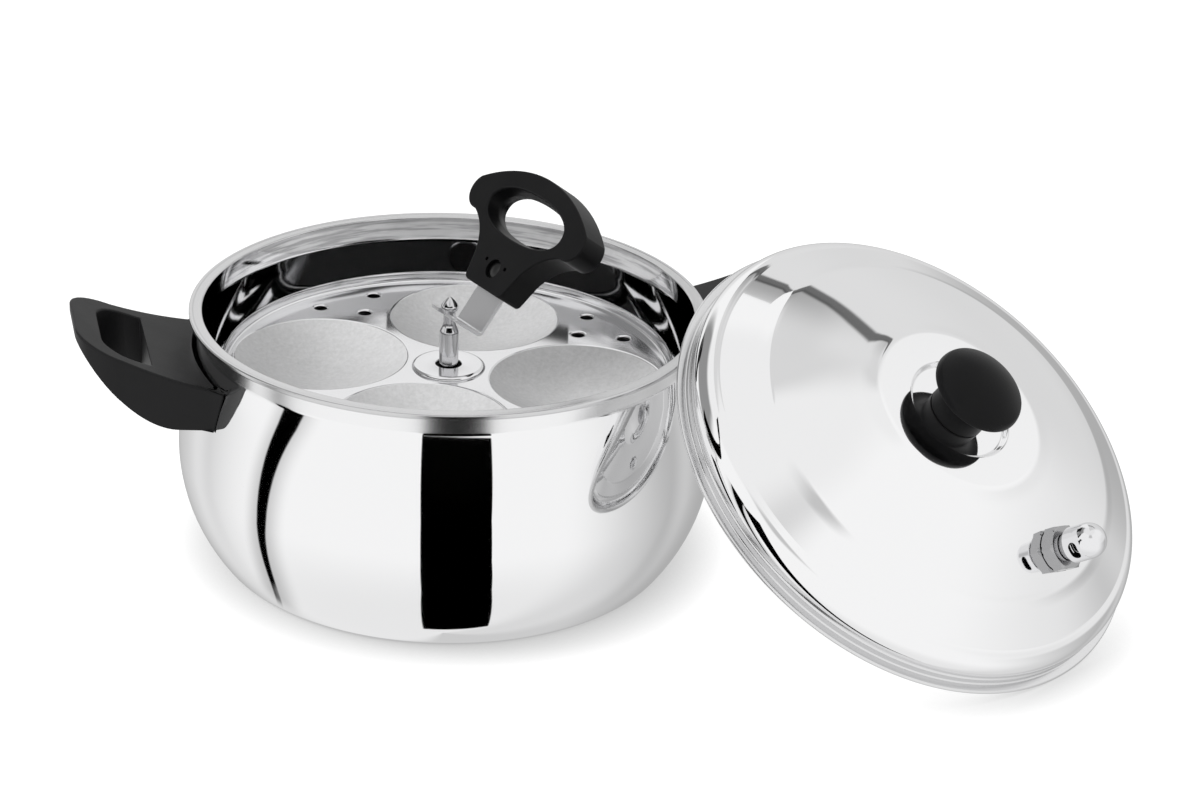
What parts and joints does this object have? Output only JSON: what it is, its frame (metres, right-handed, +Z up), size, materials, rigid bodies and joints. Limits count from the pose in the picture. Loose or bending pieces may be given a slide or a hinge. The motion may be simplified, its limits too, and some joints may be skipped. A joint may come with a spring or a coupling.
{
  "type": "idli steamer",
  "caption": "Bellied steel idli steamer with loop handles, idli plates stacked on a lift-out stem, a hooked lifter and a domed lid with knob and steam vent.",
  "frame": {"origin": "centre of the pot's flat base, on the surface it stands on", "axes": "+Z up along the pot's axis and the stem, +X to the right in the picture, +Y away from the viewer"},
  "size_m": [0.4398, 0.2496, 0.1541],
  "materials": {
    "pot_steel": "mirror-polished",
    "lid_steel": "mirror-polished",
    "plate_steel": "polished flats, satin cups",
    "stem_steel": "polished",
    "blade_steel": "satin",
    "fastener_steel": "plain",
    "vent_chrome": "bright",
    "insert_brass": "plain",
    "bakelite": "satin black",
    "knob_bakelite": "satin black"
  },
  "bodies": {
    "pot": {"pot_shell": "pot_steel", "handle_left": "bakelite", "handle_bracket_left": "fastener_steel", "handle_screw_left": "fastener_steel", "handle_right": "bakelite", "handle_bracket_right": "fastener_steel", "handle_screw_right": "fastener_steel"},
    "stand": {"stand_rod": "stem_steel", "stand_foot": "stem_steel", "stand_nut": "fastener_steel", "spacer_lower": "stem_steel", "spacer_middle": "stem_steel", "spacer_upper": "stem_steel"},
    "plate_lower": {"idli_plate_lower": "plate_steel"},
    "plate_middle": {"idli_plate_middle": "plate_steel"},
    "plate_upper": {"idli_plate_upper": "plate_steel"},
    "lifter": {"lifter_blade": "blade_steel", "lifter_grip": "bakelite", "lifter_screw": "fastener_steel"},
    "lid": {"lid_shell": "lid_steel", "lid_knob": "knob_bakelite", "knob_insert": "insert_brass", "knob_washer": "fastener_steel", "knob_screw": "fastener_steel", "vent_stem": "vent_chrome", "vent_washer": "fastener_steel", "vent_nut": "vent_chrome"},
    "whistle": {"vent_cap": "vent_chrome"}
  },
  "joints": [
    {"name": "stand_lift", "type": "slide", "parent": "pot", "child": "stand", "axis": [0, 0, 1], "range_m": [0, 0.15]},
    {"name": "plate_lower_turn", "type": "hinge", "parent": "stand", "child": "plate_lower", "pos_m": [0, 0, 0.026], "axis": [0, 0, 1], "continuous": true},
    {"name": "plate_middle_turn", "type": "hinge", "parent": "stand", "child": "plate_middle", "pos_m": [0, 0, 0.052], "axis": [0, 0, 1], "continuous": true},
    {"name": "plate_upper_turn", "type": "hinge", "parent": "stand", "child": "plate_upper", "pos_m": [0, 0, 0.078], "axis": [0, 0, 1], "continuous": true},
    {"name": "lifter_swing", "type": "hinge", "parent": "stand", "child": "lifter", "pos_m": [0, 0, 0.1018], "axis": [0, 0, 1], "continuous": true},
    {"name": "lid_lift", "type": "slide", "parent": "pot", "child": "lid", "axis": [0.425, -0.4019, 0.8111], "range_m": [0, 0.2]},
    {"name": "vent_cap_turn", "type": "hinge", "parent": "lid", "child": "whistle", "pos_m": [0.24644, -0.08507, 0.04996], "axis": [0.6207, -0.5459, 0.5628], "continuous": true}
  ]
}
